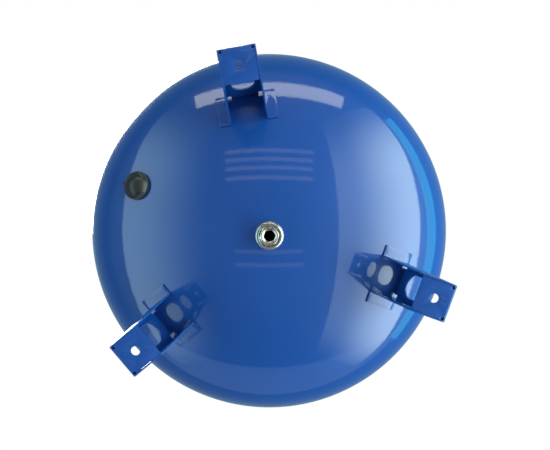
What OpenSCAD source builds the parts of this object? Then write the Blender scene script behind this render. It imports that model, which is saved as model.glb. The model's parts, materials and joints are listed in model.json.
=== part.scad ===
// Floor-standing diaphragm expansion vessel for a heating circuit.
// A welded steel shell on three pressed legs, a threaded water connection at the lower pole that
// feeds a rubber bladder, and a gas charging valve under a pull-off cap.
// Frame: floor at z = 0, axis of the vessel on z, front leg towards -Y. Millimetres.

/* [Shell] */
// Outer diameter of the shell
shell_d = 480; // [440:5:520]
// Length of the straight shell between the two tangent lines
straight_len = 292; // [240:2:500]
// Wall thickness of shell and heads
wall = 2; // [1.5:0.1:3]
// Straight rim of each dished head
head_rim = 20; // [10:1:30]
// Gap between the floor and the lowest point of the lower head
floor_gap = 76.4; // [74:0.2:90]

/* [Legs] */
// Sheet thickness of a leg
leg_sheet = 2; // [1.8:0.1:2.4]
// Radius from the vessel axis to the outer edge of a foot
foot_outer_r = 226.8; // [222:0.2:232]
// Radius from the vessel axis to the inner edge of a foot
foot_inner_r = 184.2; // [180:0.2:188]
// Half width of a leg at the floor
leg_half_foot = 23; // [21:0.1:25]
// Half width of a leg where it meets the head
leg_half_top = 24.9; // [23:0.1:27]
// Radius where the back wall of a leg meets the head
web_top_r = 181.2; // [178:0.2:184]
// Radius where the side walls of a leg leave the head
lip_inner_r = 145.4; // [140:0.2:150]
// Half width over the two welding lips of a leg
lip_half = 38.3; // [34:0.1:42]
// Bolt circle radius of the feet
bolt_circle_r = 205.2; // [200:0.2:210]
// Bolt hole diameter in a foot
bolt_hole_d = 11; // [9:0.5:13]

/* [Water connection] */
// Major diameter of the G 1 pipe thread
thread_d = 33.25; // [33.25]
// Length of the threaded stub below the head
stub_len = 18; // [14:0.5:22]
// Width across flats of the clamping sleeve's hexagon
sleeve_flats = 22; // [20:0.5:22.5]
// Water bore diameter
water_bore_d = 14; // [12:0.5:15]

/* [Bladder] */
// Radius of the bladder's round body
bladder_r = 150; // [120:2:170]
// Height of the middle of the bladder's body above the floor
bladder_mid_z = 270; // [255:1:300]
// Rubber thickness
bladder_wall = 2; // [1.5:0.1:3]

/* [Gas valve] */
// Angle between the valve axis and the vertical
valve_tilt = 28; // [24:0.5:31]
// Radius of the protective cap's rim
cap_rim_r = 18.3; // [17:0.1:20]
// Height of the protective cap's top above the head
cap_top = 15.2; // [15.2:0.1:17]
// Radius of the valve thread
valve_thread_r = 3.87; // [3.87]

/* [Hidden] */
$fn = 128;

// Dished head: crown radius 0.8 D, knuckle radius 0.154 D
shell_r = shell_d / 2;
crown_r = 0.8 * shell_d;
knuckle_r = 0.154 * shell_d;
knuckle_x = shell_r - knuckle_r;
crown_rise = sqrt(pow(crown_r - knuckle_r, 2) - pow(knuckle_x, 2));
head_depth = crown_r - crown_rise;
low_tangent_z = floor_gap + head_depth;
high_tangent_z = low_tangent_z + straight_len;
crown_z = floor_gap + crown_r;
low_seam_z = low_tangent_z + head_rim;
high_seam_z = high_tangent_z - head_rim;
contact_gap = 0.02;
steel_blue = [0.05, 0.25, 0.62];

// Height of the lower head's outside at a radius inside its crown
function crown_height(r) = crown_z - sqrt(crown_r * crown_r - r * r);

// Weld beads: a circular segment of the given half width and height
girth_half = 4.5;
girth_high = 1.8;
girth_bead_r = (girth_half * girth_half + girth_high * girth_high) / (2 * girth_high);
seam_half = 3.5;
seam_high = 1.2;
seam_bead_r = (seam_half * seam_half + seam_high * seam_high) / (2 * seam_high);
seam_azimuth = 90;

// Legs
leg_azimuths = [270, 30, 150];
bend_r = 2.6;
heel_r = 3.5;
web_base_r = foot_outer_r + 1.5;
web_top_z = crown_height(web_top_r);
lip_inner_z = crown_height(lip_inner_r);
web_lean = atan((web_base_r - web_top_r) / web_top_z);
web_len = web_top_z / cos(web_lean);
flange_flare = atan((leg_half_top - leg_half_foot) / web_len);
flange_reach = 90;
foot_side_gap = 0.3;
upper_slot = [30, 43];
upper_slot_s = 90.5;
lower_slot = [30, 39];
lower_slot_s = 36.5;
notch = [4.8, 5.8];
notch_y = 20.1;
relief_r = 1.9;

// Water connection
thread_r = thread_d / 2;
thread_top_z = floor_gap - 3.1;
shank_r = 16.4;
stub_end_z = floor_gap - stub_len;
nipple_bore_r = 13.2;
nipple_flange_r = 27;
nipple_flange_z = floor_gap + wall + 1.1;
nipple_flange_t = 4;
neck_z = nipple_flange_z + nipple_flange_t;
neck_t = 3;
ring_z = neck_z + neck_t;
ring_t = 3;
nut_z = ring_z + ring_t;
nut_t = 6;
sleeve_r = 13.1;
sleeve_end_z = stub_end_z + 0.8;
sleeve_top_z = nut_z + nut_t + 1.6;
diffuser_r = 10;
diffuser_len = 22;

// Bladder: a sphere with a conical neck that is tangent to it
bladder_apex_z = stub_end_z + 1.6;
neck_half_angle = asin(bladder_r / (bladder_mid_z - bladder_apex_z));

// Gas valve, along its own axis from the head's outside; its x points to the vessel's axis
boss_r = 9;
boss_top = 0.8;
collar_t = 1.8;
snap_r = 14;
hex_z = 1.6;
hex_t = 1.8;
stem_top = 7;
stem_bore_r = 2.4;
core_z = -1;
dust_cap_z = 3.7;
dust_cap_top = 8.7;
snap_top = 3.2;
cap_wall = 1.7;
cap_inner_r = 14.1;
cap_z = collar_t + 0.1;
cap_tab_turn = 188;
cap_dome_r = 18.44;
cap_scallop_r = 10;
cap_scallop_at = 22.5;
cap_scallop_z = 5;

// ---- Shared shapes ----

// Half section of a dished head, tangent line on y = 0, pole downwards, shrunk by an inset
module dish_area(inset) {
    reach = 1.3 * crown_r / (crown_r - knuckle_r);
    intersection() {
        translate([0, -shell_d])
            square([shell_d, shell_d]);
        union() {
            intersection() {
                translate([0, crown_rise])
                    circle(crown_r - inset, $fn = 360);
                polygon([[0, crown_rise], [knuckle_x * reach, crown_rise * (1 - reach)],
                    [0, crown_rise - 2 * crown_r]]);
            }
            translate([knuckle_x, 0])
                circle(knuckle_r - inset);
        }
    }
}

// Dished shell with its straight rim, tangent line at z = 0, pole downwards
module dished_head() {
    rotate_extrude($fn = 180) {
        difference() {
            dish_area(0);
            dish_area(wall);
        }
        translate([shell_r - wall, 0])
            square([wall, head_rim]);
    }
}

// Outside crown of the lower head, as a solid ball
module crown_ball(extra) {
    translate([0, 0, crown_z])
        sphere(crown_r + extra, $fn = 360);
}

// Moves its children to the gas valve's axis, z pointing out of the head
module at_valve() {
    translate([0, 0, crown_z])
        rotate([0, 0, 210])
            rotate([0, 180 - valve_tilt, 0])
                translate([0, 0, crown_r])
                    children();
}

module tube(r_out, r_in, z0, z1) {
    translate([0, 0, z0])
        difference() {
            cylinder(r = r_out, h = z1 - z0);
            translate([0, 0, -1])
                cylinder(r = r_in, h = z1 - z0 + 2);
        }
}

module hexagon(flats, h) {
    cylinder(r = flats / 2 / cos(30), h = h, $fn = 6);
}

// ---- Shell ----

module lower_head() {
    color(steel_blue)
        difference() {
            translate([0, 0, low_tangent_z])
                dished_head();
            translate([0, 0, floor_gap - 5])
                cylinder(r = shank_r + 0.1, h = 15);
            at_valve()
                translate([0, 0, -8])
                    cylinder(r = boss_r + 0.05, h = 16);
        }
}

module upper_head() {
    color(steel_blue)
        translate([0, 0, high_tangent_z])
            mirror([0, 0, 1])
                dished_head();
}

module shell_cylinder() {
    color(steel_blue)
        tube(shell_r, shell_r - wall, low_seam_z, high_seam_z, $fn = 180);
}

module girth_weld(z) {
    color(steel_blue)
        translate([0, 0, z])
            rotate_extrude($fn = 180)
                difference() {
                    translate([shell_r + girth_high - girth_bead_r, 0])
                        circle(girth_bead_r, $fn = 48);
                    translate([shell_r - 2 * girth_bead_r, -girth_bead_r])
                        square([2 * girth_bead_r, 2 * girth_bead_r]);
                }
}

module lower_girth_weld() {
    girth_weld(low_seam_z);
}

module upper_girth_weld() {
    girth_weld(high_seam_z);
}

module seam_weld() {
    color(steel_blue)
        rotate([0, 0, seam_azimuth])
            translate([shell_r, 0, low_seam_z + girth_half])
                linear_extrude(high_seam_z - low_seam_z - 2 * girth_half)
                    difference() {
                        translate([seam_high - seam_bead_r, 0])
                            circle(seam_bead_r);
                        translate([contact_gap - 2 * seam_bead_r, -seam_bead_r])
                            square([2 * seam_bead_r, 2 * seam_bead_r]);
                    }
}

// Blank plate that follows the shell, with rounded corners
module rating_plate() {
    plate = [110, 70];
    corner = 5;
    color("silver")
        intersection() {
            tube(shell_r + 0.6, shell_r + contact_gap, low_seam_z, high_seam_z, $fn = 360);
            translate([0, 0, (low_seam_z + high_seam_z) / 2])
                rotate([90, 0, 0])
                    linear_extrude(shell_r + 10) {
                        square([plate.x - 2 * corner, plate.y], center = true);
                        square([plate.x, plate.y - 2 * corner], center = true);
                        for (x = [-1, 1], y = [-1, 1])
                            translate([x * (plate.x / 2 - corner), y * (plate.y / 2 - corner)])
                                circle(corner, $fn = 32);
                    }
        }
}

// ---- Legs ----

// Moves its children onto the back wall of a leg: z up the wall, x out of it, y across
module on_web() {
    translate([web_base_r, 0, 0])
        rotate([0, -web_lean, 0])
            children();
}

// Half of the channel's cross section: back wall, one bend, one side wall
module half_channel_section() {
    difference() {
        channel_fill(0);
        channel_fill(leg_sheet);
    }
}

// Solid half section under the sheet's outer face, or under its inner face
module channel_fill(inset) {
    overlap = 5 + inset;
    side = leg_half_foot - inset;
    back = leg_half_foot - bend_r;
    translate([-flange_reach - inset, -overlap])
        square([flange_reach, back + overlap]);
    translate([-flange_reach - inset, -overlap])
        square([flange_reach + inset - bend_r, side + overlap]);
    translate([-bend_r, back])
        circle(bend_r - inset, $fn = 48);
}

// Flaring channel before trimming, its bottom below the floor
module channel() {
    on_web()
        for (side = [0, 1])
            mirror([0, side, 0])
                rotate([-flange_flare, 0, 0])
                    translate([0, 0, -30])
                        linear_extrude(web_len + 60)
                            half_channel_section();
}

// Side view of a leg in the x-z plane, with a rounded heel
module leg_outline() {
    heel_x = web_base_r - heel_r * (1 + sin(web_lean)) / cos(web_lean);
    heel = [heel_x + heel_r * cos(web_lean), heel_r * (1 + sin(web_lean))];
    rise = 30;
    polygon([[foot_inner_r, 0], [heel_x, 0], [heel_x, heel_r], heel,
        [web_top_r - rise * tan(web_lean), web_top_z + rise],
        [lip_inner_r, web_top_z + rise], [lip_inner_r, lip_inner_z]]);
    translate([heel_x, heel_r])
        circle(heel_r, $fn = 48);
}

// Slot through the back wall: width across, length along the wall, centre at distance s up it
module web_slot(size, s) {
    on_web()
        translate([4, 0, s])
            rotate([0, -90, 0])
                linear_extrude(12) {
                    square([size.y - size.x, size.x], center = true);
                    for (end = [-1, 1])
                        translate([end * (size.y - size.x) / 2, 0])
                            circle(size.x / 2, $fn = 64);
                }
}

module leg_shape() {
    difference() {
        union() {
            intersection() {
                union() {
                    channel();
                    foot_plate();
                }
                translate([0, 100, 0])
                    rotate([90, 0, 0])
                        linear_extrude(200)
                            leg_outline();
            }
            // Welding lips that lie on the head
            for (side = [-1, 1])
                intersection() {
                    difference() {
                        crown_ball(contact_gap + leg_sheet);
                        crown_ball(contact_gap);
                    }
                    translate([lip_inner_r, side > 0 ? leg_half_top - leg_sheet : -lip_half, 0])
                        cube([web_top_r - lip_inner_r + 1.5, lip_half - leg_half_top + leg_sheet, 160]);
                }
        }
        crown_ball(contact_gap);
        translate([bolt_circle_r, 0, -1])
            cylinder(d = bolt_hole_d, h = leg_sheet + 2);
        web_slot(upper_slot, upper_slot_s);
        web_slot(lower_slot, lower_slot_s);
        for (side = [-1, 1])
            on_web()
                translate([-4, side * notch_y - notch.x / 2, web_len - notch.y])
                    cube([8, notch.x, notch.y + 10]);
    }
}

// Foot plate, folded inwards from the back wall, with a relief hole at each end of the fold
module foot_plate() {
    half = leg_half_foot - leg_sheet - foot_side_gap;
    difference() {
        translate([foot_inner_r, -half, 0])
            cube([foot_outer_r - foot_inner_r, 2 * half, leg_sheet]);
        for (side = [-1, 1])
            translate([foot_outer_r - leg_sheet - relief_r, side * (half - relief_r + 0.6), -1])
                cylinder(r = relief_r, h = 5, $fn = 48);
    }
}

module leg_front() {
    color(steel_blue)
        rotate([0, 0, leg_azimuths[0]])
            leg_shape();
}

module leg_rear_right() {
    color(steel_blue)
        rotate([0, 0, leg_azimuths[1]])
            leg_shape();
}

module leg_rear_left() {
    color(steel_blue)
        rotate([0, 0, leg_azimuths[2]])
            leg_shape();
}

// ---- Water connection ----

// Bright ring welded around the stub on the outside of the head
module connection_collar() {
    r_in = shank_r + 0.05;
    low_z = thread_top_z + 0.5;
    color("silver")
        rotate_extrude()
            difference() {
                translate([r_in, low_z])
                    square([17.6 - r_in, 6]);
                translate([0, crown_z])
                    circle(crown_r + contact_gap, $fn = 720);
            }
}

// Threaded stub with an inside flange that carries the bladder's neck
module connection_nipple() {
    chamfer = 1.5;
    color("silver")
        rotate_extrude()
            polygon([[nipple_bore_r, stub_end_z], [thread_r - chamfer, stub_end_z],
                [thread_r, stub_end_z + chamfer], [thread_r, thread_top_z],
                [shank_r, thread_top_z], [shank_r, nipple_flange_z],
                [nipple_flange_r, nipple_flange_z], [nipple_flange_r, neck_z],
                [nipple_bore_r, neck_z]]);
}

// Hollow screw seen inside the stub: hexagon, conical mouth, hexagon socket, diffuser inside
module clamping_sleeve() {
    hex_len = 6;
    chamfer_r = sleeve_flats / 2 - 0.3;
    bore_r = water_bore_d / 2;
    total = sleeve_top_z + diffuser_len - sleeve_end_z;
    color("silver")
        translate([0, 0, sleeve_end_z])
            difference() {
                union() {
                    intersection() {
                        hexagon(sleeve_flats, hex_len + 1);
                        cylinder(r1 = chamfer_r, r2 = chamfer_r + (hex_len + 1) / tan(30), h = hex_len + 1);
                    }
                    translate([0, 0, hex_len])
                        cylinder(r = sleeve_r, h = sleeve_top_z - sleeve_end_z - hex_len);
                    cylinder(r = diffuser_r, h = total);
                }
                translate([0, 0, -1])
                    cylinder(r = bore_r, h = total + 2);
                translate([0, 0, -0.01])
                    cylinder(r1 = 9.5, r2 = bore_r, h = 1.25);
                translate([0, 0, 0.6])
                    hexagon(water_bore_d, 9);
                for (turn = [0, 90])
                    rotate([0, 0, turn])
                        translate([-diffuser_r - 1, 0, total - 10])
                            rotate([0, 90, 0])
                                cylinder(r = 3.5, h = 2 * diffuser_r + 2, $fn = 48);
            }
}

module bladder_clamp_ring() {
    color("silver")
        tube(22.5, sleeve_r + 0.1, ring_z, ring_z + ring_t);
}

module sleeve_nut() {
    color("silver")
        translate([0, 0, nut_z])
            difference() {
                hexagon(34, nut_t);
                translate([0, 0, -1])
                    cylinder(r = sleeve_r + 0.05, h = nut_t + 2);
            }
}

// ---- Bladder ----

// Half section of the bladder's outside, or of its inside when inset by the wall
module bladder_area(inset) {
    r = bladder_r - inset;
    apex_z = bladder_apex_z + inset / sin(neck_half_angle);
    intersection() {
        union() {
            translate([0, bladder_mid_z])
                circle(r, $fn = 180);
            polygon([[0, apex_z], [r * cos(neck_half_angle), bladder_mid_z - r * sin(neck_half_angle)],
                [0, bladder_mid_z]]);
        }
        translate([0, ring_z - 0.5])
            square([2 * bladder_r, 3 * bladder_r]);
    }
}

module bladder() {
    neck_r = (ring_z - bladder_apex_z) * tan(neck_half_angle);
    color([0.1, 0.1, 0.1])
        rotate_extrude($fn = 180) {
            difference() {
                bladder_area(0);
                bladder_area(bladder_wall);
            }
            translate([sleeve_r + 0.2, neck_z])
                square([neck_r - sleeve_r - 0.2, neck_t]);
        }
}

// ---- Gas valve ----

module gas_valve_boss() {
    color("silver")
        at_valve()
            rotate_extrude($fn = 96)
                polygon([[4.05, -6], [12, -6], [12, -2.4], [boss_r, -2.4], [boss_r, boss_top],
                    [4.05, boss_top]]);
}

// Black base that grips the boss, with the ring that the protective cap snaps over
module valve_collar() {
    color([0.06, 0.06, 0.06])
        difference() {
            at_valve() {
                tube(cap_rim_r, boss_r + 0.1, -2, collar_t);
                tube(snap_r, snap_r - 1.6, collar_t - 0.5, snap_top);
            }
            crown_ball(contact_gap);
        }
}

module valve_gasket() {
    color([0.08, 0.08, 0.08])
        at_valve()
            tube(6.2, 4.05, boss_top, hex_z);
}

module valve_stem() {
    color("goldenrod")
        at_valve()
            difference() {
                union() {
                    translate([0, 0, -5.5])
                        cylinder(r = 4, h = 5.5 + hex_z);
                    translate([0, 0, hex_z])
                        hexagon(11, hex_t);
                    translate([0, 0, hex_z])
                        cylinder(r = valve_thread_r, h = stem_top - hex_z);
                }
                translate([0, 0, -6])
                    cylinder(r = stem_bore_r, h = stem_top + 7, $fn = 64);
            }
}

// Sleeve of the valve core, closed by a bridge with a pin hole at each end
module valve_core_body() {
    color("goldenrod")
        at_valve() {
            tube(2.35, 1.75, core_z + 1.5, core_z + 7.2, $fn = 64);
            tube(2.35, 0.85, core_z + 1.5, core_z + 2.1, $fn = 64);
            tube(2.35, 0.85, core_z + 6.6, core_z + 7.2, $fn = 64);
        }
}

module valve_core_pin() {
    color("silver")
        at_valve() {
            translate([0, 0, core_z + 0.2])
                cylinder(r = 0.8, h = 7.7, $fn = 48);
            translate([0, 0, core_z + 0.2])
                cylinder(r = 1.8, h = 0.5, $fn = 48);
            translate([0, 0, core_z + 5.5])
                cylinder(r = 1.45, h = 0.4, $fn = 48);
        }
}

// Plain stand-in for the coil between the core's lower bridge and the pin's shoulder
module valve_core_spring() {
    color("silver")
        at_valve()
            tube(1.5, 0.95, core_z + 2.15, core_z + 5.45, $fn = 48);
}

module valve_core_seal() {
    color([0.08, 0.08, 0.08])
        at_valve()
            tube(2.2, 0.8, core_z + 0.72, core_z + 1.45, $fn = 48);
}

module dust_cap() {
    grooves = 18;
    color([0.06, 0.06, 0.06])
        at_valve()
            difference() {
                translate([0, 0, dust_cap_z])
                    cylinder(r = 5.6, h = dust_cap_top - dust_cap_z, $fn = 64);
                translate([0, 0, dust_cap_z - 1])
                    cylinder(r = valve_thread_r + 0.05, h = stem_top + 0.7 - dust_cap_z + 1, $fn = 64);
                for (i = [0 : grooves - 1])
                    rotate([0, 0, i * 360 / grooves])
                        translate([5.85, 0, dust_cap_z - 1])
                            cylinder(r = 0.5, h = dust_cap_top, $fn = 16);
            }
}

module dust_cap_washer() {
    color([0.2, 0.2, 0.2])
        at_valve()
            translate([0, 0, stem_top + 0.05])
                cylinder(r = 3.8, h = 0.6, $fn = 64);
}

// Domed protective cap: rim, three finger pockets, pull tab on the side away from the axis
module valve_cap() {
    color([0.06, 0.06, 0.06])
        at_valve()
            difference() {
                union() {
                    cap_solid(cap_rim_r - 1, cap_dome_r);
                    tube(cap_rim_r, cap_inner_r + 0.5, cap_z, cap_z + 1.8);
                    rotate([0, 0, cap_tab_turn])
                        translate([cap_rim_r - 2, -2.2, cap_z])
                            cube([4.2, 4.4, 1.8]);
                }
                difference() {
                    translate([0, 0, -0.01])
                        cap_solid(cap_inner_r, cap_dome_r - cap_wall);
                    cap_pockets(cap_scallop_r + cap_wall, cap_scallop_z - cap_wall);
                }
                cap_pockets(cap_scallop_r, cap_scallop_z);
            }
}

// Three upright pockets round the dome, open to the side and above
module cap_pockets(r, z) {
    for (turn = [80, 200, 320])
        rotate([0, 0, turn])
            translate([cap_scallop_at, 0, z])
                cylinder(r = r, h = 20, $fn = 96);
}

// Solid of revolution under a spherical dome whose centre is shared by cap and cavity
module cap_solid(r, dome_r) {
    rotate_extrude($fn = 96)
        intersection() {
            translate([0, cap_z])
                square([r, cap_top]);
            translate([0, cap_top - cap_dome_r])
                circle(dome_r, $fn = 128);
        }
}

lower_head();
shell_cylinder();
upper_head();
lower_girth_weld();
upper_girth_weld();
seam_weld();
leg_front();
leg_rear_right();
leg_rear_left();
rating_plate();
connection_collar();
connection_nipple();
clamping_sleeve();
sleeve_nut();
bladder_clamp_ring();
bladder();
gas_valve_boss();
valve_collar();
valve_stem();
valve_gasket();
valve_core_body();
valve_core_pin();
valve_core_spring();
valve_core_seal();
dust_cap();
dust_cap_washer();
valve_cap();
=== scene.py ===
"""Looks of the floor-standing expansion vessel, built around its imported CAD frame. Metres, +Z up."""
import json
import math

import bmesh
import bpy
from mathutils import Matrix, Vector, noise


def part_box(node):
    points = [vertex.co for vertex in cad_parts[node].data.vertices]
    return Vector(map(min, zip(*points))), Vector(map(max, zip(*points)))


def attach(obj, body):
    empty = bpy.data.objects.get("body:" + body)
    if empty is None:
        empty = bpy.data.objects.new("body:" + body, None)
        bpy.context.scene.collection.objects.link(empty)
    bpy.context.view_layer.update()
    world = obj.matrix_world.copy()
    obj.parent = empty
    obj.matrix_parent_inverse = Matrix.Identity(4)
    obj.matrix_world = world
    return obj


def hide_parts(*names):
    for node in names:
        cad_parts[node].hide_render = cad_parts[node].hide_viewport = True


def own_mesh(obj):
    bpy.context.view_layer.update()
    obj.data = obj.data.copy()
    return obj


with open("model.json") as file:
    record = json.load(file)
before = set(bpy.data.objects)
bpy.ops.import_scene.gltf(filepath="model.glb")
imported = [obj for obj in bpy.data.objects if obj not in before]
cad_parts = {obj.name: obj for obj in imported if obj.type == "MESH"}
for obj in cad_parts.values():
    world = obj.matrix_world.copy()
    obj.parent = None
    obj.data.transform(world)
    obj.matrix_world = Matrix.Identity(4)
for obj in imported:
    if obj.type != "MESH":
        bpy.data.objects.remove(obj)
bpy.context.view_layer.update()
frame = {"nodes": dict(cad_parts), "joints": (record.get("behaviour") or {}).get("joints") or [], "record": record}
nodes = frame["nodes"]
MM = 0.001

# ---- Sizes taken from the frame, or shared with the exact model ----

shell_low, shell_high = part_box("shell_cylinder")
SHELL_R = 0.24
WALL = 2 * MM
CROWN_R = 1.6 * SHELL_R
KNUCKLE_R = 0.308 * SHELL_R
KNUCKLE_X = SHELL_R - KNUCKLE_R
CROWN_RISE = math.sqrt((CROWN_R - KNUCKLE_R) ** 2 - KNUCKLE_X ** 2)
POLE_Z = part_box("lower_head")[0].z
CROWN_Z = POLE_Z + CROWN_R
LOW_TANGENT_Z = CROWN_Z - CROWN_RISE
TOP_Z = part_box("upper_head")[1].z
HIGH_TANGENT_Z = POLE_Z + TOP_Z - LOW_TANGENT_Z
LOW_SEAM_Z = shell_low.z
HIGH_SEAM_Z = shell_high.z
STUB_R = 16.625 * MM
SHANK_R = 16.4 * MM
HEAD_BORE_GAP = 0.1 * MM
VALVE_BORE_R = 9.05 * MM
VALVE_PITCH = 0.794 * MM
WELD_ROOT = 0.3 * MM
SHELL_SEGMENTS = 320

turn_joint = next(j for j in frame["joints"] if j["name"] == "dust_cap_turn")
VALVE_AT = Vector(turn_joint["pos_m"])
VALVE_AXIS = Vector(turn_joint["axis"]).normalized()
# Local frame of the valve: z out of the head, x pointing away from the vessel's axis
outward = Vector((VALVE_AT.x, VALVE_AT.y, 0)).normalized()
VALVE_X = (outward - VALVE_AXIS * outward.dot(VALVE_AXIS)).normalized()
VALVE_FRAME = Matrix.Translation(VALVE_AT) @ Matrix((
    (VALVE_X.x, VALVE_AXIS.cross(VALVE_X).x, VALVE_AXIS.x, 0),
    (VALVE_X.y, VALVE_AXIS.cross(VALVE_X).y, VALVE_AXIS.y, 0),
    (VALVE_X.z, VALVE_AXIS.cross(VALVE_X).z, VALVE_AXIS.z, 0),
    (0, 0, 0, 1)))


# ---- Materials ----

def new_material(name):
    """An empty material with its Principled shader, ready for nodes."""
    m = bpy.data.materials.new(name)
    m.use_nodes = True
    shader = m.node_tree.nodes["Principled BSDF"]
    return m, m.node_tree, shader


def add_node(tree, kind, **inputs):
    n = tree.nodes.new(kind)
    for key, value in inputs.items():
        n.inputs[key.replace("_", " ")].default_value = value
    return n


def noise_node(tree, coords, scale, detail=3.0, rough=0.5):
    n = add_node(tree, "ShaderNodeTexNoise", Scale=scale, Detail=detail, Roughness=rough)
    tree.links.new(coords, n.inputs["Vector"])
    return n


def object_coords(tree):
    return tree.nodes.new("ShaderNodeTexCoord").outputs["Object"]


def colour_mix(tree, factor, low, high):
    """A ramp between two colours, driven by a factor."""
    ramp = tree.nodes.new("ShaderNodeValToRGB")
    ramp.color_ramp.elements[0].position = 0.35
    ramp.color_ramp.elements[1].position = 0.65
    ramp.color_ramp.elements[0].color = (*low, 1)
    ramp.color_ramp.elements[1].color = (*high, 1)
    tree.links.new(factor, ramp.inputs["Fac"])
    return ramp.outputs["Color"]


def roughness_range(tree, factor, low, high):
    """A factor from 0 to 1 spread over a range of roughness."""
    r = tree.nodes.new("ShaderNodeMapRange")
    r.inputs["To Min"].default_value = low
    r.inputs["To Max"].default_value = high
    tree.links.new(factor, r.inputs["Value"])
    return r.outputs["Result"]


def bump_chain(tree, layers):
    """Bumps stacked from (height output, distance in metres, strength)."""
    normal = None
    for height, distance, strength in layers:
        b = add_node(tree, "ShaderNodeBump", Distance=distance, Strength=strength)
        tree.links.new(height, b.inputs["Height"])
        if normal is not None:
            tree.links.new(normal, b.inputs["Normal"])
        normal = b.outputs["Normal"]
    return normal


def paint_material(name, peel=1.0):
    """Glossy stoved blue enamel: clear coat, fine orange peel, faint sheet waviness."""
    m, tree, shader = new_material(name)
    coords = object_coords(tree)
    cloud = noise_node(tree, coords, 9.0, 2.0)
    fleck = noise_node(tree, coords, 900.0, 2.0)
    colour = colour_mix(tree, cloud.outputs["Fac"],
                        (0.0032, 0.068, 0.335), (0.0038, 0.073, 0.355))
    tree.links.new(colour, shader.inputs["Base Color"])
    gloss = roughness_range(tree, fleck.outputs["Fac"], 0.34, 0.46)
    tree.links.new(gloss, shader.inputs["Roughness"])
    shader.inputs["Specular IOR Level"].default_value = 0.3
    shader.inputs["Coat Weight"].default_value = 1.0
    shader.inputs["Coat Roughness"].default_value = 0.045
    shader.inputs["Coat IOR"].default_value = 1.5
    skin = noise_node(tree, coords, 320.0, 2.0)
    sheet = noise_node(tree, coords, 14.0, 1.0)
    normal = bump_chain(tree, [(sheet.outputs["Fac"], 0.0006, 0.10),
                               (skin.outputs["Fac"], 0.00006, 0.35 * peel)])
    tree.links.new(normal, shader.inputs["Normal"])
    tree.links.new(normal, shader.inputs["Coat Normal"])
    return m


def metal_material(name, low, high, rough=(0.2, 0.34), streak=(1, 1, 40), bump=0.00002):
    """Machined metal: streaks along the lathe marks, cloudy tarnish."""
    m, tree, shader = new_material(name)
    coords = object_coords(tree)
    mapping = tree.nodes.new("ShaderNodeMapping")
    mapping.inputs["Scale"].default_value = streak
    tree.links.new(coords, mapping.inputs["Vector"])
    marks = noise_node(tree, mapping.outputs["Vector"], 240.0, 4.0, 0.6)
    cloud = noise_node(tree, coords, 160.0, 3.0)
    tree.links.new(colour_mix(tree, cloud.outputs["Fac"], low, high), shader.inputs["Base Color"])
    tree.links.new(roughness_range(tree, marks.outputs["Fac"], *rough), shader.inputs["Roughness"])
    shader.inputs["Metallic"].default_value = 1.0
    normal = bump_chain(tree, [(marks.outputs["Fac"], bump, 0.5)])
    tree.links.new(normal, shader.inputs["Normal"])
    return m


def soft_material(name, low, high, rough=(0.5, 0.7), grain=700.0, bump=0.00005, specular=0.4):
    """Moulded rubber or plastic: fine grain, slight cloudiness."""
    m, tree, shader = new_material(name)
    coords = object_coords(tree)
    cloud = noise_node(tree, coords, 60.0, 3.0)
    skin = noise_node(tree, coords, grain, 3.0)
    tree.links.new(colour_mix(tree, cloud.outputs["Fac"], low, high), shader.inputs["Base Color"])
    tree.links.new(roughness_range(tree, skin.outputs["Fac"], *rough), shader.inputs["Roughness"])
    shader.inputs["Specular IOR Level"].default_value = specular
    normal = bump_chain(tree, [(skin.outputs["Fac"], bump, 0.6)])
    tree.links.new(normal, shader.inputs["Normal"])
    return m


MATERIALS = {
    "shell_paint": paint_material("shell_paint"),
    "weld_paint": paint_material("weld_paint", 0.5),
    "leg_paint": paint_material("leg_paint", 0.8),
    "plate_metal": metal_material("plate_metal", (0.66, 0.67, 0.69), (0.70, 0.71, 0.73),
                                  (0.34, 0.42), (30, 30, 1), 0.000004),
    "stub_steel": metal_material("stub_steel", (0.60, 0.58, 0.54), (0.74, 0.72, 0.68),
                                 (0.16, 0.3)),
    "sleeve_steel": metal_material("sleeve_steel", (0.50, 0.48, 0.44), (0.66, 0.63, 0.58),
                                   (0.18, 0.34)),
    "boss_steel": metal_material("boss_steel", (0.42, 0.42, 0.43), (0.55, 0.55, 0.56),
                                 (0.3, 0.5)),
    "pin_steel": metal_material("pin_steel", (0.62, 0.62, 0.63), (0.72, 0.72, 0.73),
                                (0.15, 0.25)),
    "valve_brass": metal_material("valve_brass", (0.62, 0.44, 0.17), (0.76, 0.56, 0.26),
                                  (0.2, 0.36)),
    "butyl_rubber": soft_material("butyl_rubber", (0.018, 0.018, 0.02), (0.03, 0.03, 0.032),
                                  (0.55, 0.75)),
    "seal_rubber": soft_material("seal_rubber", (0.014, 0.014, 0.015), (0.024, 0.024, 0.026),
                                 (0.5, 0.7)),
    "black_plastic": soft_material("black_plastic", (0.012, 0.012, 0.013), (0.02, 0.02, 0.022),
                                   (0.35, 0.5)),
    "cap_plastic": soft_material("cap_plastic", (0.02, 0.02, 0.021), (0.032, 0.032, 0.034),
                                 (0.3, 0.42), 420.0, 0.00006, 0.5),
}
SLOT_OF = {s["node"]: s["material_slot"] for s in frame["record"]["subparts"]}
BODIES = frame["record"]["behaviour"]["bodies"]
BODY_OF = {node: body for body, members in BODIES.items() for node in members}
for node_name, node_object in nodes.items():
    node_object.data.materials.clear()
    node_object.data.materials.append(MATERIALS[SLOT_OF[node_name]])


# ---- Mesh helpers ----

def finish_piece(obj, node_name, sharp=35):
    """Shading, material and frame of a piece that stands for one CAD node."""
    mesh = obj.data
    mesh.polygons.foreach_set("use_smooth", [True] * len(mesh.polygons))
    mesh.set_sharp_from_angle(angle=math.radians(sharp))
    mesh.materials.clear()
    mesh.materials.append(MATERIALS[SLOT_OF[node_name]])
    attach(obj, BODY_OF[node_name])
    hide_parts(node_name)
    return obj


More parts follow.
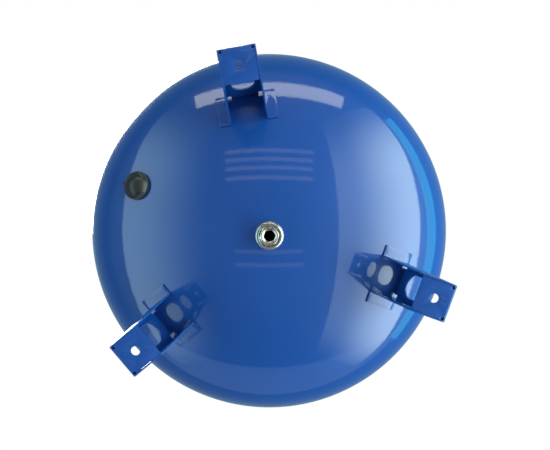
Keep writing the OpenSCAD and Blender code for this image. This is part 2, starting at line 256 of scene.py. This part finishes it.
def object_from_bmesh(bm, name):
    """A linked object from a bmesh, its faces turned outwards."""
    bmesh.ops.recalc_face_normals(bm, faces=bm.faces)
    mesh = bpy.data.meshes.new(name)
    bm.to_mesh(mesh)
    bm.free()
    obj = bpy.data.objects.new(name, mesh)
    bpy.context.scene.collection.objects.link(obj)
    return obj


def spin(bm, profile, segments, place=Matrix.Identity(4), shift=None, closed=True):
    """Turns (r, z) points round the z axis of place. shift(r, z, angle) may move a point."""
    rings = []
    for i in range(segments):
        angle = 2 * math.pi * i / segments
        ring = []
        for r, z in profile:
            rr, zz = shift(r, z, angle) if shift else (r, z)
            point = Vector((rr * math.cos(angle), rr * math.sin(angle), zz))
            ring.append(bm.verts.new(place @ point))
        rings.append(ring)
    count = len(profile)
    last = count if closed else count - 1
    for i in range(segments):
        a, b = rings[i], rings[(i + 1) % segments]
        for k in range(last):
            quad = (a[k], b[k], b[(k + 1) % count], a[(k + 1) % count])
            bm.faces.new(quad)


def arc(cx, cz, r, start, end, steps):
    """Points on a circle, angles in degrees."""
    out = []
    for i in range(steps + 1):
        t = math.radians(start + (end - start) * i / steps)
        out.append((cx + r * math.cos(t), cz + r * math.sin(t)))
    return out


def rounded(points, radius, steps=4):
    """A closed profile with every corner rounded by up to a radius."""
    out = []
    count = len(points)
    for i, p in enumerate(points):
        a = Vector(points[i - 1]) - Vector(p)
        b = Vector(points[(i + 1) % count]) - Vector(p)
        cut = min(radius, 0.45 * a.length, 0.45 * b.length)
        start = Vector(p) + a.normalized() * cut
        end = Vector(p) + b.normalized() * cut
        for k in range(steps + 1):
            t = k / steps
            q = start * (1 - t) ** 2 + Vector(p) * 2 * t * (1 - t) + end * t * t
            out.append((q.x, q.y))
    return out


def rounded_copy(node_name, width, segments=2, sharp=35):
    """A copy of a CAD node's mesh with its sharp edges broken by a small bevel."""
    merge_distance, flat_angle = 2e-6, math.radians(0.5)
    bm = bmesh.new()
    bm.from_mesh(nodes[node_name].data)
    bmesh.ops.remove_doubles(bm, verts=bm.verts, dist=merge_distance)
    bmesh.ops.dissolve_limit(bm, angle_limit=flat_angle, verts=bm.verts, edges=bm.edges)
    edges = [e for e in bm.edges
             if len(e.link_faces) == 2 and e.calc_face_angle(0) > math.radians(sharp)]
    bmesh.ops.bevel(bm, geom=edges, offset=width, offset_type="OFFSET", segments=segments,
                    profile=0.5, affect="EDGES", clamp_overlap=True)
    obj = object_from_bmesh(bm, node_name + "_finished")
    return finish_piece(obj, node_name)


# ---- Shell ----

def head_section(inset, start_r):
    """Outside (inset 0) or inside of a dished head, from a radius near the pole to its rim."""
    crown = CROWN_R - inset
    knuckle = KNUCKLE_R - inset
    start = -90 + math.degrees(math.asin(start_r / crown))
    join = -math.degrees(math.atan2(CROWN_RISE, KNUCKLE_X))
    points = arc(0, CROWN_RISE, crown, start, join, 60)
    points += arc(KNUCKLE_X, 0, knuckle, join, 0, 40)[1:]
    return points


def build_head(node_name, tangent_z, rim_z, upside, pole_hole):
    """A dished head as one closed turned skin, with a round hole at its pole or none."""
    profile = head_section(0, pole_hole)
    rim, inner_r = abs(rim_z - tangent_z), SHELL_R - WALL
    profile += [(SHELL_R, rim * 0.5), (SHELL_R, rim), (inner_r, rim), (inner_r, rim * 0.5)]
    profile += list(reversed(head_section(WALL, pole_hole)))
    pierced = pole_hole > 0
    if not pierced:
        profile[0] = (0, profile[0][1])
        profile[-1] = (0, profile[-1][1])
    side = -1 if upside else 1
    turned = [(r, tangent_z + side * z) for r, z in profile]
    bm = bmesh.new()
    spin(bm, turned, SHELL_SEGMENTS, closed=pierced)
    bmesh.ops.remove_doubles(bm, verts=bm.verts, dist=1e-7)
    return object_from_bmesh(bm, node_name + "_skin")


def cut_hole(obj, radius, place, length):
    """Drills a round hole along z of place."""
    bm = bmesh.new()
    bmesh.ops.create_cone(bm, cap_ends=True, segments=96, radius1=radius, radius2=radius,
                          depth=length, matrix=place)
    drill = object_from_bmesh(bm, "drill")
    cut = obj.modifiers.new("cut", "BOOLEAN")
    cut.operation = "DIFFERENCE"
    cut.solver = "EXACT"
    cut.object = drill
    bpy.context.view_layer.objects.active = obj
    bpy.context.view_layer.update()
    with bpy.context.temp_override(object=obj, active_object=obj, selected_objects=[obj]):
        bpy.ops.object.modifier_apply(modifier=cut.name)
    bpy.data.objects.remove(drill)


def build_shell():
    """Both heads and the cylinder between them."""
    lower = build_head("lower_head", LOW_TANGENT_Z, LOW_SEAM_Z, False, SHANK_R + HEAD_BORE_GAP)
    cut_hole(lower, VALVE_BORE_R, VALVE_FRAME, 20 * MM)
    finish_piece(lower, "lower_head")
    upper = build_head("upper_head", HIGH_TANGENT_Z, HIGH_SEAM_Z, True, 0)
    finish_piece(upper, "upper_head")
    bm = bmesh.new()
    steps, rise = 12, HIGH_SEAM_Z - LOW_SEAM_Z
    outer = [(SHELL_R, LOW_SEAM_Z + rise * i / steps) for i in range(steps + 1)]
    inner = [(SHELL_R - WALL, z) for _, z in reversed(outer)]
    spin(bm, outer + inner, SHELL_SEGMENTS)
    finish_piece(object_from_bmesh(bm, "shell_cylinder_skin"), "shell_cylinder")


def bead_height(across, along, high, pitch):
    """Height of a weld bead over the sheet: rounded section with crescent ripples."""
    section = math.sqrt(max(0.0, 1 - across * across))
    ripple = 0.5 + 0.5 * math.cos(2 * math.pi * (along / pitch + 0.35 * across * across))
    return high * section * (0.80 + 0.20 * ripple)


def build_girth_weld(node_name, z):
    """A rippled bead round the shell, its height wandering slightly."""
    half, high, pitch = 4.4 * MM, 1.75 * MM, 4.4 * MM
    steps, per_ripple = 12, 5
    around = 2 * math.pi * SHELL_R
    ripples = round(around / pitch)
    root_r = SHELL_R - WELD_ROOT

    def shift(r, zz, angle):
        across = (zz - z) / half
        if r < SHELL_R - 0.1 * MM or abs(across) > 1:
            return r, zz
        wander = 0.12 * noise.noise(Vector((40 * math.cos(angle), 40 * math.sin(angle), z)))
        crest = high * (0.92 + wander)
        return SHELL_R + bead_height(across, angle * SHELL_R, crest, around / ripples), zz

    profile = [(SHELL_R, z + half * (-1 + 2 * k / steps)) for k in range(steps + 1)]
    profile += [(root_r, z + half), (root_r, z - half)]
    bm = bmesh.new()
    spin(bm, profile, ripples * per_ripple, shift=shift)
    finish_piece(object_from_bmesh(bm, node_name + "_bead"), node_name, 60)


def build_seam_weld():
    """A straight rippled bead along the cylinder's seam."""
    low, high_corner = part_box("seam_weld")
    half, high, pitch, per_ripple = 3.4 * MM, 1.15 * MM, 3.6 * MM, 5
    root_y = SHELL_R - WELD_ROOT
    length = high_corner.z - low.z
    count = round(length / pitch) * per_ripple
    bm = bmesh.new()
    rows = []
    for i in range(count + 1):
        z = low.z + length * i / count
        row = []
        for k in range(11):
            across = -1 + 0.2 * k
            x = across * half
            base = math.sqrt(SHELL_R ** 2 - x * x)
            row.append(bm.verts.new((x, base + bead_height(across, z, high, pitch), z)))
        row.append(bm.verts.new((half, root_y, z)))
        row.append(bm.verts.new((-half, root_y, z)))
        rows.append(row)
    for a, b in zip(rows, rows[1:]):
        for k in range(len(a)):
            n = (k + 1) % len(a)
            bm.faces.new((a[k], a[n], b[n], b[k]))
    bm.faces.new(rows[0])
    bm.faces.new(rows[-1])
    finish_piece(object_from_bmesh(bm, "seam_weld_bead"), "seam_weld", 60)


# ---- Water connection ----

def thread_shift(pitch, depth, z_low, z_high, crest_r, taper):
    """Moves points of a plain cylinder onto a right-hand V thread, rounded at crest and root."""
    def shift(r, z, angle):
        if r < crest_r - 0.01 * MM or z < z_low or z > z_high:
            return r, z
        phase = (z / pitch + angle / (2 * math.pi)) % 1.0
        wave = (0.5 - 0.5 * math.cos(2 * math.pi * phase)) ** 0.8
        fade = min(1.0, (z_high - z) / (0.7 * pitch))
        root = depth * wave * fade
        lead = max(0.0, taper - (z - z_low))
        return min(r - root, crest_r - lead), z
    return shift


def build_nipple():
    """Threaded stub with a neck above the thread and a flange inside the head."""
    low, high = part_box("connection_nipple")
    bore, chamfer, mouth, edge = 13.2 * MM, 1.5 * MM, 0.5 * MM, 0.4 * MM
    flange_z, flange_r = POLE_Z + WALL + 1.1 * MM, high.x
    thread_top = POLE_Z - 3.1 * MM
    pitch, depth = 2.309 * MM, 1.479 * MM
    rows = 130
    profile = [(bore, high.z), (bore, low.z + mouth), (bore + mouth, low.z),
               (STUB_R - chamfer, low.z)]
    profile += [(STUB_R, low.z + (thread_top - low.z) * (k + 0.5) / rows) for k in range(rows)]
    profile += [(STUB_R, thread_top), (SHANK_R, thread_top), (SHANK_R, flange_z),
                (flange_r - edge, flange_z), (flange_r, flange_z + edge),
                (flange_r, high.z - edge), (flange_r - edge, high.z)]
    bm = bmesh.new()
    spin(bm, profile, 160, shift=thread_shift(pitch, depth, low.z, thread_top, STUB_R, chamfer))
    stub = object_from_bmesh(bm, "connection_nipple_threaded")
    finish_piece(stub, "connection_nipple", 40)


def crown_height(r):
    """Height of the lower head's outside at a radius on its crown."""
    return CROWN_Z - math.sqrt(CROWN_R ** 2 - r * r)


def build_collar():
    """Bright ring round the stub: rounded lip below, cut to the head's curve above."""
    inner, outer, middle = SHANK_R + 0.05 * MM, 17.6 * MM, 17 * MM
    low_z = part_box("connection_collar")[0].z
    lip_z, keep_z, lip_r = low_z + 1.2 * MM, low_z + 0.9 * MM, 0.55 * MM
    lip = rounded([(inner, low_z), (inner, lip_z), (outer, lip_z), (outer, low_z)], lip_r, 6)
    profile = [p for p in lip if p[1] < keep_z]
    start = max(range(len(profile)), key=lambda k: (profile[k][0] > middle, profile[k][1]))
    profile = profile[start:] + profile[:start]
    gap = 0.02 * MM
    profile += [(inner, crown_height(inner) - gap), (outer, crown_height(outer) - gap)]
    bm = bmesh.new()
    spin(bm, profile, 192)
    ring = object_from_bmesh(bm, "connection_collar_rounded")
    finish_piece(ring, "connection_collar", 50)


# ---- Gas valve ----

def build_stem():
    """Brass valve stem: shank in the boss, hexagon, valve thread."""
    bore, shank, crest, apothem = 2.4 * MM, 4 * MM, 3.87 * MM, 5.5 * MM
    foot, top, hex_low, hex_high = -5.5 * MM, 7 * MM, 1.6 * MM, 3.4 * MM
    flare, flat_edge, tip, depth = 0.3 * MM, 0.35 * MM, 0.5 * MM, 0.45 * MM
    hex_r = apothem + 0.01 * MM
    rows = 56
    profile = [(bore, top - flare), (bore, foot), (shank, foot), (shank, hex_low),
               (apothem, hex_low), (hex_r, hex_low + flat_edge),
               (hex_r, hex_high - flat_edge), (apothem, hex_high)]
    profile += [(crest, hex_high + (top - hex_high) * k / rows) for k in range(rows + 1)]
    profile += [(bore + flare, top)]
    screw = thread_shift(VALVE_PITCH, depth, hex_high, top, crest, 0)

    def shift(r, z, angle):
        if r > apothem:
            part = (angle + math.pi / 6) % (math.pi / 3) - math.pi / 6
            return apothem / math.cos(math.pi / 6 - abs(part)), z
        if abs(r - crest) < 1e-7:
            lead = max(0.0, z - (top - tip))
            return min(screw(r, z, angle)[0], crest - lead), z
        return r, z

    bm = bmesh.new()
    spin(bm, profile, 144, VALVE_FRAME, shift)
    finish_piece(object_from_bmesh(bm, "valve_stem_threaded"), "valve_stem", 40)


def build_dust_cap():
    """Screw cap with a threaded bore and a fluted grip."""
    low, high, inner_top = 3.7 * MM, 8.7 * MM, 7.7 * MM
    outer, inner, grooves = 5.6 * MM, 3.92 * MM, 18
    crown_r, groove_r, groove_at, fluted_r = 0.9 * MM, 0.5 * MM, 5.85 * MM, 5.2 * MM
    depth, pole, dish_r, dish = 0.32 * MM, 0.01 * MM, 2.3 * MM, 0.35 * MM
    rows = 48
    profile = [(pole, inner_top)]
    profile += [(inner, inner_top - (inner_top - low) * k / rows) for k in range(rows + 1)]
    profile += [(outer - 0.3 * MM, low), (outer, low + 0.3 * MM), (outer, high - crown_r)]
    profile += [(outer - crown_r + crown_r * math.cos(t), high - crown_r + crown_r * math.sin(t))
                for t in (0.4, 0.8, 1.2, math.pi / 2)]
    profile += [(dish_r + 0.3 * MM, high), (dish_r, high - dish), (pole, high - dish)]

    def shift(r, z, angle):
        if abs(r - inner) < 1e-7:
            phase = (z / VALVE_PITCH + angle / (2 * math.pi)) % 1.0
            return r + depth * (0.5 - 0.5 * math.cos(2 * math.pi * phase)), z
        if r > fluted_r:
            step = 2 * math.pi / grooves
            off = (angle + step / 2) % step - step / 2
            across = groove_at * math.sin(off)
            if abs(across) < groove_r:
                wall = groove_at * math.cos(off) - math.sqrt(groove_r ** 2 - across ** 2)
                return min(r, wall), z
        return r, z

    bm = bmesh.new()
    spin(bm, profile, 288, VALVE_FRAME, shift)
    finish_piece(object_from_bmesh(bm, "dust_cap_knurled"), "dust_cap", 40)


def build_spring():
    """Round wire coil under the core pin's collar."""
    mean, wire, low, high, turns = 1.22 * MM, 0.25 * MM, 1.15 * MM, 4.45 * MM, 5.5
    bm = bmesh.new()
    steps, sides = 220, 12
    rings = []
    for i in range(steps + 1):
        t = i / steps
        angle = 2 * math.pi * turns * t
        z = low + wire + (high - low - 2 * wire) * t
        ring = []
        for k in range(sides):
            a = 2 * math.pi * k / sides
            r = mean + wire * math.cos(a)
            point = Vector((r * math.cos(angle), r * math.sin(angle), z + wire * math.sin(a)))
            ring.append(bm.verts.new(VALVE_FRAME @ point))
        rings.append(ring)
    for a, b in zip(rings, rings[1:]):
        for k in range(sides):
            n = (k + 1) % sides
            bm.faces.new((a[k], a[n], b[n], b[k]))
    bm.faces.new(rings[0])
    bm.faces.new(rings[-1])
    obj = finish_piece(object_from_bmesh(bm, "valve_core_spring_coil"), "valve_core_spring")
    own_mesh(obj)


# ---- Rating plate ----

def build_plate():
    """Blank plate with a pressed border and a pressed dividing line."""
    low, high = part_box("rating_plate")
    half, mid = (high.z - low.z) / 2, (high.z + low.z) / 2
    width = (high.x - low.x) / 2
    inner, outer, corner = SHELL_R + 0.05 * MM, SHELL_R + 0.58 * MM, 5 * MM
    border_in, line_z, line_in = 4.5 * MM, 14 * MM, 9 * MM
    press, press_half, bevel_depth, bevel_wide = 0.28 * MM, 0.9 * MM, 0.25 * MM, 0.5 * MM
    columns, rows = 150, 96
    bm = bmesh.new()

    def edge_distance(x, z):
        qx, qz = abs(x) - (width - corner), abs(z) - (half - corner)
        out = math.hypot(max(qx, 0), max(qz, 0)) + min(max(qx, qz), 0)
        return corner - out

    def pressed(x, z):
        border = abs(edge_distance(x, z) - border_in)
        line = abs(z - line_z) if abs(x) < width - line_in else 1
        near = min(border, line)
        return press * max(0.0, 1 - (near / press_half) ** 2)

    fronts, backs = [], []
    for j in range(rows + 1):
        z = -half + 2 * half * j / rows
        squeeze = max(0.0, abs(z) - (half - corner))
        reach = width - corner + math.sqrt(max(0.0, corner ** 2 - squeeze ** 2))
        front, back = [], []
        for i in range(columns + 1):
            x = -reach + 2 * reach * i / columns
            angle = x / SHELL_R
            bevel = bevel_depth * max(0.0, 1 - edge_distance(x, z) / bevel_wide)
            r = outer - pressed(x, z) - bevel
            for side, radius in ((front, r), (back, inner)):
                point = (radius * math.sin(angle), -radius * math.cos(angle), mid + z)
                side.append(bm.verts.new(point))
        fronts.append(front)
        backs.append(back)
    for j in range(rows):
        front, front_next, back, back_next = fronts[j], fronts[j + 1], backs[j], backs[j + 1]
        for i in range(columns):
            bm.faces.new((front[i], front[i + 1], front_next[i + 1], front_next[i]))
            bm.faces.new((back[i], back_next[i], back_next[i + 1], back[i + 1]))
        for i in (0, columns):
            bm.faces.new((front[i], front_next[i], back_next[i], back[i]))
    for j in (0, rows):
        for i in range(columns):
            bm.faces.new((fronts[j][i], fronts[j][i + 1], backs[j][i + 1], backs[j][i]))
    finish_piece(object_from_bmesh(bm, "rating_plate_pressed"), "rating_plate")


# ---- Camera ----

def build_camera():
    """Looking straight up at the lower head from below the floor. Angles in radians."""
    around = math.radians(10)
    image_right = Vector((math.cos(around), math.sin(around), 0))
    image_up = Vector((math.sin(around), -math.cos(around), 0))
    world_up = Vector((0, 0, 1))
    below, right, up = 1.19007, -0.00226, 0.05745
    yaw, pitch, roll = -0.0071901, -0.0350755, -0.00039
    sensor_mm, lens_mm = 36, 66.74662
    turn = Matrix.Rotation(pitch, 3, "X") @ Matrix.Rotation(yaw, 3, "Y")
    turn = turn @ Matrix.Rotation(roll, 3, "Z")
    axes = turn @ Matrix((image_right, image_up, world_up))
    data = bpy.data.cameras.new("camera")
    data.sensor_width = sensor_mm
    data.lens = lens_mm
    data.clip_start, data.clip_end = 0.01, 50
    cam = bpy.data.objects.new("camera", data)
    bpy.context.scene.collection.objects.link(cam)
    rotation = Matrix((axes[0], axes[1], -axes[2])).transposed()
    place = image_right * right + image_up * up - world_up * below
    cam.matrix_world = Matrix.Translation(place) @ rotation.to_4x4()
    bpy.context.scene.camera = cam
    return image_right, image_up


# ---- Studio ----

def softbox(name, towards, distance, size, power, colour=(1, 1, 1), *, spin_up,
            aim=Vector((0, 0, 0.12)), slide=0.0, ramp=None):
    """A rectangular light in a direction from the aim point, its second side along spin_up.

    ramp fades it across its first side: (from, to, level at from, level at to).
    """
    data = bpy.data.lights.new(name, "AREA")
    data.shape = "RECTANGLE"
    data.size, data.size_y = size
    data.energy = power
    data.color = colour
    light = bpy.data.objects.new(name, data)
    bpy.context.scene.collection.objects.link(light)
    back = towards.normalized()
    up = (spin_up - back * spin_up.dot(back)).normalized()
    side = up.cross(back)
    place = aim + back * distance + up * slide
    light.matrix_world = Matrix.Translation(place) @ Matrix((side, up, back)).transposed().to_4x4()
    light.visible_camera = False
    if ramp:
        fade_light(data, *ramp)
    return light


def fade_light(data, start, end, start_level, end_level):
    """Fades a light across its first side, and towards both ends of its second side."""
    data.use_nodes = True
    tree = data.node_tree
    geometry = tree.nodes.new("ShaderNodeNewGeometry")
    split = tree.nodes.new("ShaderNodeSeparateXYZ")
    curve = tree.nodes.new("ShaderNodeMapRange")
    curve.interpolation_type = "SMOOTHSTEP"
    for key, value in (("From Min", start), ("From Max", end),
                       ("To Min", start_level), ("To Max", end_level)):
        curve.inputs[key].default_value = value
    ends = tree.nodes.new("ShaderNodeValToRGB")
    ends.color_ramp.interpolation = "EASE"
    stops = ends.color_ramp.elements
    stops[0].position, stops[0].color = 0.0, (0.1, 0.1, 0.1, 1)
    stops[1].position, stops[1].color = 0.3, (1, 1, 1, 1)
    for position, level in ((0.72, 1.0), (1.0, 0.1)):
        stops.new(position).color = (level, level, level, 1)
    product = tree.nodes.new("ShaderNodeMath")
    product.operation = "MULTIPLY"
    tree.links.new(geometry.outputs["Parametric"], split.inputs["Vector"])
    tree.links.new(split.outputs["X"], curve.inputs["Value"])
    tree.links.new(split.outputs["Y"], ends.inputs["Fac"])
    tree.links.new(curve.outputs["Result"], product.inputs[0])
    tree.links.new(ends.outputs["Color"], product.inputs[1])
    tree.links.new(product.outputs["Value"], tree.nodes["Emission"].inputs["Strength"])


def build_world():
    """White to the camera; to everything else a dim room, brighter and bluer overhead."""
    world = bpy.data.worlds.new("studio")
    bpy.context.scene.world = world
    world.use_nodes = True
    tree = world.node_tree
    background = tree.nodes["Background"]
    path = tree.nodes.new("ShaderNodeLightPath")
    room = tree.nodes.new("ShaderNodeBackground")
    mix = tree.nodes.new("ShaderNodeMixShader")
    coords = tree.nodes.new("ShaderNodeTexCoord")
    split = tree.nodes.new("ShaderNodeSeparateXYZ")
    ramp = tree.nodes.new("ShaderNodeValToRGB")
    height = tree.nodes.new("ShaderNodeMapRange")
    height.inputs["From Min"].default_value = -1.0
    tree.links.new(coords.outputs["Generated"], split.inputs["Vector"])
    tree.links.new(split.outputs["Z"], height.inputs["Value"])
    tree.links.new(height.outputs["Result"], ramp.inputs["Fac"])
    tree.links.new(ramp.outputs["Color"], room.inputs["Color"])
    stops = ramp.color_ramp.elements
    stops[0].position, stops[0].color = 0.05, (0.20, 0.20, 0.20, 1)
    stops[1].position, stops[1].color = 0.26, (0.06, 0.06, 0.065, 1)
    for position, level in ((0.31, 0.16), (0.5, 0.15), (0.62, 0.26), (0.9, 0.42)):
        stop = stops.new(position)
        stop.color = (level * 0.55, level * 0.88, level * 1.05, 1)
    background.inputs["Color"].default_value = (1, 1, 1, 1)
    tree.links.new(path.outputs["Is Camera Ray"], mix.inputs["Fac"])
    tree.links.new(room.outputs["Background"], mix.inputs[1])
    tree.links.new(background.outputs["Background"], mix.inputs[2])
    surface = tree.nodes["World Output"].inputs["Surface"]
    tree.links.new(mix.outputs["Shader"], surface)


def build_floor():
    """Pale floor seen only from above, so that the camera under it looks through."""
    bm = bmesh.new()
    bmesh.ops.create_grid(bm, x_segments=4, y_segments=4, size=6)
    mesh = bpy.data.meshes.new("floor")
    bm.to_mesh(mesh)
    bm.free()
    floor = bpy.data.objects.new("floor", mesh)
    floor.location.z = -0.0003
    bpy.context.scene.collection.objects.link(floor)
    m, tree, shader = new_material("floor")
    shader.inputs["Base Color"].default_value = (0.82, 0.82, 0.81, 1)
    shader.inputs["Roughness"].default_value = 0.6
    geometry = tree.nodes.new("ShaderNodeNewGeometry")
    clear = tree.nodes.new("ShaderNodeBsdfTransparent")
    mix = tree.nodes.new("ShaderNodeMixShader")
    tree.links.new(geometry.outputs["Backfacing"], mix.inputs["Fac"])
    tree.links.new(shader.outputs["BSDF"], mix.inputs[1])
    tree.links.new(clear.outputs["BSDF"], mix.inputs[2])
    surface = tree.nodes["Material Output"].inputs["Surface"]
    tree.links.new(mix.outputs["Shader"], surface)
    mesh.materials.append(m)
    floor.visible_shadow = False
    floor.visible_diffuse = False
    floor.visible_glossy = False
    floor.visible_transmission = False


def polar(right, up, from_down, around):
    """Direction at an angle from straight down, turned round in the image's right and up."""
    a, b = math.radians(from_down), math.radians(around)
    sideways = right * math.cos(b) + up * math.sin(b)
    return sideways * math.sin(a) - Vector((0, 0, 1)) * math.cos(a)


def build_lights(right, up):
    """Two large softboxes and narrow strips that the glossy head mirrors, and a light above."""
    softbox("left_softbox", polar(right, up, 47, 180), 2.4, (1.95, 6.4), 105,
            (0.66, 0.98, 1.0), spin_up=up, slide=-0.5, ramp=(0.05, 0.95, 1.0, 0.0))
    softbox("right_softbox", polar(right, up, 51.5, 0), 2.4, (1.75, 6.4), 265,
            (0.82, 1.0, 0.93), spin_up=up, slide=-0.45, ramp=(0.15, 0.95, 0.2, 1.0))
    softbox("right_fill", polar(right, up, 88, 0), 2.2, (0.9, 4.0), 30,
            (0.12, 0.85, 1.0), spin_up=up)
    softbox("upper_strip", polar(right, up, 65.5, 90), 2.6, (2.8, 0.32), 14,
            (1.0, 1.0, 0.88), spin_up=up)
    for angle in (36, 32, 28, 23.5):
        softbox("ceiling_strip", polar(right, up, angle, 90), 2.6, (1.8, 0.08), 0.42, spin_up=up)
    for angle in (10, 16):
        softbox("ceiling_strip", polar(right, up, angle, -90), 2.6, (1.4, 0.08), 0.2, spin_up=up)
    softbox("lower_card", polar(right, up, 77, -90), 2.6, (5.5, 1.1), 10,
            (0.75, 0.95, 1.0), spin_up=up)
    softbox("top_light", Vector((-0.5, -0.6, 1.6)), 2.6, (1.6, 1.6), 60,
            spin_up=Vector((0, 1, 0)), aim=Vector((0, 0, 0.4)))


# ---- The whole scene ----

right, up = build_camera()
scene = bpy.context.scene
scene.view_settings.view_transform = "Standard"
scene.view_settings.look = "None"
build_world()
build_floor()
build_lights(right, up)
build_shell()
build_girth_weld("lower_girth_weld", LOW_SEAM_Z)
build_girth_weld("upper_girth_weld", HIGH_SEAM_Z)
build_seam_weld()
build_nipple()
build_collar()
build_stem()
build_dust_cap()
build_spring()
build_plate()
for leg in ("leg_front", "leg_rear_right", "leg_rear_left"):
    rounded_copy(leg, 0.3 * MM)
rounded_copy("valve_cap", 0.5 * MM, 3)
rounded_copy("valve_collar", 0.2 * MM)
rounded_copy("clamping_sleeve", 0.12 * MM, sharp=20)
rounded_copy("sleeve_nut", 0.4 * MM)
rounded_copy("bladder_clamp_ring", 0.3 * MM)
rounded_copy("gas_valve_boss", 0.25 * MM)
